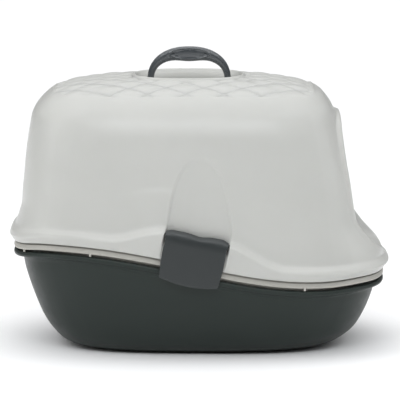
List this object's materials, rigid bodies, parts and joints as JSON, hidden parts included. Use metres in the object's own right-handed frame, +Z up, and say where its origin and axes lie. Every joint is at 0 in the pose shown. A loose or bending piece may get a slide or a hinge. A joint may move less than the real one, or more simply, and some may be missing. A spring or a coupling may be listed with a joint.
{
  "type": "cat litter box with hood",
  "caption": "Hooded cat litter box: wavy-rimmed tray, rim frame and domed hood with an open front entrance, side latches and a folding carry handle.",
  "frame": {"origin": "middle of the box's length and width, on the floor under the tray", "axes": "+X to the entrance, +Y to the box's left, +Z up"},
  "size_m": [0.59, 0.395, 0.461],
  "materials": {
    "hood_plastic": "fine satin grain, warm light grey",
    "frame_plastic": "satin, warm light grey",
    "tray_plastic": "satin, anthracite, glossier on the rim",
    "latch_plastic": "fine matte grain, anthracite",
    "handle_plastic": "semi-gloss, slate grey"
  },
  "bodies": {
    "tray": {"tray": "tray_plastic"},
    "rim_frame": {"rim_frame": "frame_plastic"},
    "hood": {"hood": "hood_plastic"},
    "carry_handle": {"carry_handle": "handle_plastic"},
    "latch_left": {"latch_left": "latch_plastic"},
    "latch_right": {"latch_right": "latch_plastic"}
  },
  "joints": [
    {"name": "frame_lift", "type": "slide", "parent": "tray", "child": "rim_frame", "axis": [0, 0, 1], "range_m": [0, 0.06]},
    {"name": "hood_lift", "type": "slide", "parent": "rim_frame", "child": "hood", "axis": [0, 0, 1], "range_m": [0, 0.15]},
    {"name": "handle_fold", "type": "hinge", "parent": "hood", "child": "carry_handle", "pos_m": [-0.016, 0, 0.408], "axis": [1, 0, 0], "range_deg": [-88, 88]},
    {"name": "latch_left_swing", "type": "hinge", "parent": "hood", "child": "latch_left", "pos_m": [-0.004, 0.189, 0.187], "axis": [0.9799, 0, -0.1994], "range_deg": [0, 100]},
    {"name": "latch_right_swing", "type": "hinge", "parent": "hood", "child": "latch_right", "pos_m": [-0.004, -0.189, 0.187], "axis": [-0.9799, 0, 0.1994], "range_deg": [0, 100]}
  ]
}
